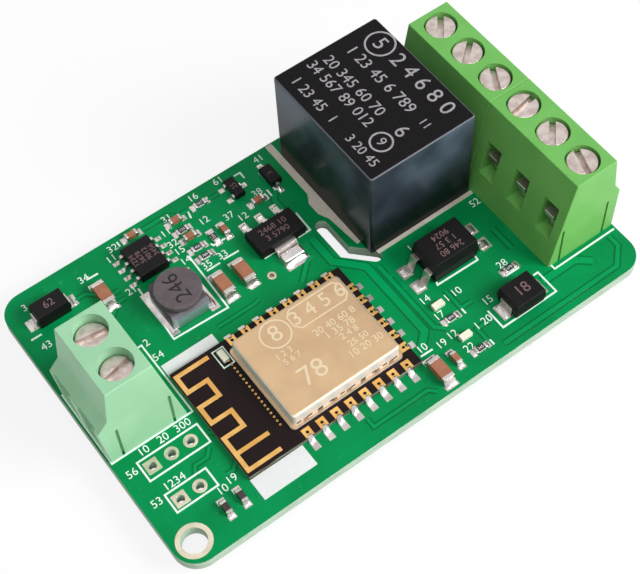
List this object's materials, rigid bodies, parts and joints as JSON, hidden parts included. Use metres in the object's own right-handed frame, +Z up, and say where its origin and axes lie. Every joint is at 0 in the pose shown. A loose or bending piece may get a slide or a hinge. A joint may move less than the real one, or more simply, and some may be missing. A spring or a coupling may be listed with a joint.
{
  "type": "smart relay board",
  "caption": "Circuit board with a radio module, a relay, a supply terminal and output terminals whose screws lift wire clamps.",
  "frame": {"origin": "on the axis of the board's screw hole, at the board's underside", "axes": "+X along the board from the supply terminal to the output terminals, +Y across it towards the relay, +Z up"},
  "size_m": [0.0657, 0.0415, 0.0183],
  "materials": {
    "board_laminate": "green solder mask over glass laminate, glossy, with darker cut edges",
    "radio_board_laminate": "near black solder mask, glossy",
    "gold_plating": "thin gold plating, satin",
    "solder": "bright solder, smooth and rounded",
    "shield_metal": "nickel silver with a warm satin face",
    "relay_plastic": "black moulded plastic, fine grain on top, smoother sides",
    "relay_inner_plastic": "dark moulded plastic",
    "copper_wire": "enamelled copper",
    "relay_iron": "zinc plated iron",
    "contact_metal": "tinned copper alloy",
    "pale_terminal_plastic": "pale mint moulded plastic, satin",
    "green_terminal_plastic": "fresh green moulded plastic, satin",
    "screw_nickel": "nickel plated steel with fine turning marks",
    "cage_nickel": "nickel plated steel",
    "capacitor_ceramic": "fired brown ceramic, satin",
    "resistor_glaze": "black glaze on white ceramic",
    "lamp_resin": "clear to milky resin",
    "ferrite": "dark grey ferrite, matt",
    "tinned_metal": "bright tin plating",
    "black_moulding": "black moulding compound, fine matt grain"
  },
  "bodies": {
    "board": {"ceramic_capacitors": "capacitor_ceramic", "chip_end_caps": "tinned_metal", "circuit_board": "board_laminate", "converter_body": "black_moulding", "converter_leads": "tinned_metal", "diode_bodies": "black_moulding", "diode_leads": "tinned_metal", "header_pads": "gold_plating", "indicator_leds": "lamp_resin", "inductor_core": "ferrite", "inductor_feet": "tinned_metal", "inductor_winding": "copper_wire", "optocoupler_body": "black_moulding", "optocoupler_leads": "tinned_metal", "output_terminal_contacts": "contact_metal", "output_terminal_housing_1": "green_terminal_plastic", "output_terminal_housing_2": "green_terminal_plastic", "radio_antenna": "gold_plating", "radio_chips": "black_moulding", "radio_module_board": "radio_board_laminate", "radio_module_pads": "gold_plating", "radio_shield_frame": "shield_metal", "radio_shield_lid": "shield_metal", "regulator_body": "black_moulding", "regulator_leads": "tinned_metal", "relay_base": "relay_inner_plastic", "relay_bobbin": "relay_inner_plastic", "relay_closed_contact": "contact_metal", "relay_coil": "copper_wire", "relay_coil_and_common_pins": "contact_metal", "relay_core": "relay_iron", "relay_cover": "relay_plastic", "relay_open_contact": "contact_metal", "relay_yoke": "relay_iron", "resistors": "resistor_glaze", "solder": "solder", "supply_terminal_contacts": "contact_metal", "supply_terminal_housing": "pale_terminal_plastic", "transistor_body": "black_moulding", "transistor_leads": "tinned_metal"},
    "relay_rocker": {"relay_armature": "relay_iron", "relay_contact_spring": "contact_metal", "relay_moving_contact": "contact_metal"},
    "supply_screw_1": {"supply_screw_1": "screw_nickel"},
    "supply_clamp_cage_1": {"supply_clamp_cage_1": "cage_nickel"},
    "supply_screw_2": {"supply_screw_2": "screw_nickel"},
    "supply_clamp_cage_2": {"supply_clamp_cage_2": "cage_nickel"},
    "output_screw_1": {"output_screw_1": "screw_nickel"},
    "output_clamp_cage_1": {"output_clamp_cage_1": "cage_nickel"},
    "output_screw_2": {"output_screw_2": "screw_nickel"},
    "output_clamp_cage_2": {"output_clamp_cage_2": "cage_nickel"},
    "output_screw_3": {"output_screw_3": "screw_nickel"},
    "output_clamp_cage_3": {"output_clamp_cage_3": "cage_nickel"},
    "output_screw_4": {"output_screw_4": "screw_nickel"},
    "output_clamp_cage_4": {"output_clamp_cage_4": "cage_nickel"},
    "output_screw_5": {"output_screw_5": "screw_nickel"},
    "output_clamp_cage_5": {"output_clamp_cage_5": "cage_nickel"},
    "output_screw_6": {"output_screw_6": "screw_nickel"},
    "output_clamp_cage_6": {"output_clamp_cage_6": "cage_nickel"}
  },
  "joints": [
    {"name": "relay_rocker_swing", "type": "hinge", "parent": "board", "child": "relay_rocker", "pos_m": [0.04498, 0.02015, 0.0118], "axis": [-1, 0, 0], "range_deg": [0, 4], "stiffness_Nm_per_rad": 0.01, "springref_deg": -11.46},
    {"name": "supply_screw_1_turn", "type": "hinge", "parent": "board", "child": "supply_screw_1", "pos_m": [0.00235, 0.01569, 0.0157], "axis": [0, 0, 1], "range_deg": [-1801, 0]},
    {"name": "supply_clamp_cage_1_lift", "type": "slide", "parent": "board", "child": "supply_clamp_cage_1", "axis": [0, 0, 1], "range_m": [0, 0.0025]},
    {"name": "supply_screw_2_turn", "type": "hinge", "parent": "board", "child": "supply_screw_2", "pos_m": [0.00235, 0.02077, 0.0157], "axis": [0, 0, 1], "range_deg": [-1801, 0]},
    {"name": "supply_clamp_cage_2_lift", "type": "slide", "parent": "board", "child": "supply_clamp_cage_2", "axis": [0, 0, 1], "range_m": [0, 0.0025]},
    {"name": "output_screw_1_turn", "type": "hinge", "parent": "board", "child": "output_screw_1", "pos_m": [0.05835, 0.00584, 0.0157], "axis": [0, 0, 1], "range_deg": [-1801, 0]},
    {"name": "output_clamp_cage_1_lift", "type": "slide", "parent": "board", "child": "output_clamp_cage_1", "axis": [0, 0, 1], "range_m": [0, 0.0025]},
    {"name": "output_screw_2_turn", "type": "hinge", "parent": "board", "child": "output_screw_2", "pos_m": [0.05835, 0.01092, 0.0157], "axis": [0, 0, 1], "range_deg": [-1801, 0]},
    {"name": "output_clamp_cage_2_lift", "type": "slide", "parent": "board", "child": "output_clamp_cage_2", "axis": [0, 0, 1], "range_m": [0, 0.0025]},
    {"name": "output_screw_3_turn", "type": "hinge", "parent": "board", "child": "output_screw_3", "pos_m": [0.05835, 0.016, 0.0157], "axis": [0, 0, 1], "range_deg": [-1801, 0]},
    {"name": "output_clamp_cage_3_lift", "type": "slide", "parent": "board", "child": "output_clamp_cage_3", "axis": [0, 0, 1], "range_m": [0, 0.0025]},
    {"name": "output_screw_4_turn", "type": "hinge", "parent": "board", "child": "output_screw_4", "pos_m": [0.05835, 0.02108, 0.0157], "axis": [0, 0, 1], "range_deg": [-1801, 0]},
    {"name": "output_clamp_cage_4_lift", "type": "slide", "parent": "board", "child": "output_clamp_cage_4", "axis": [0, 0, 1], "range_m": [0, 0.0025]},
    {"name": "output_screw_5_turn", "type": "hinge", "parent": "board", "child": "output_screw_5", "pos_m": [0.05835, 0.02616, 0.0157], "axis": [0, 0, 1], "range_deg": [-1801, 0]},
    {"name": "output_clamp_cage_5_lift", "type": "slide", "parent": "board", "child": "output_clamp_cage_5", "axis": [0, 0, 1], "range_m": [0, 0.0025]},
    {"name": "output_screw_6_turn", "type": "hinge", "parent": "board", "child": "output_screw_6", "pos_m": [0.05835, 0.03124, 0.0157], "axis": [0, 0, 1], "range_deg": [-1801, 0]},
    {"name": "output_clamp_cage_6_lift", "type": "slide", "parent": "board", "child": "output_clamp_cage_6", "axis": [0, 0, 1], "range_m": [0, 0.0025]}
  ],
  "couplings": [
    {"joint": "supply_screw_1_turn", "follows": "supply_clamp_cage_1_lift", "rad_per_m": -12566},
    {"joint": "supply_screw_2_turn", "follows": "supply_clamp_cage_2_lift", "rad_per_m": -12566},
    {"joint": "output_screw_1_turn", "follows": "output_clamp_cage_1_lift", "rad_per_m": -12566},
    {"joint": "output_screw_2_turn", "follows": "output_clamp_cage_2_lift", "rad_per_m": -12566},
    {"joint": "output_screw_3_turn", "follows": "output_clamp_cage_3_lift", "rad_per_m": -12566},
    {"joint": "output_screw_4_turn", "follows": "output_clamp_cage_4_lift", "rad_per_m": -12566},
    {"joint": "output_screw_5_turn", "follows": "output_clamp_cage_5_lift", "rad_per_m": -12566},
    {"joint": "output_screw_6_turn", "follows": "output_clamp_cage_6_lift", "rad_per_m": -12566}
  ]
}
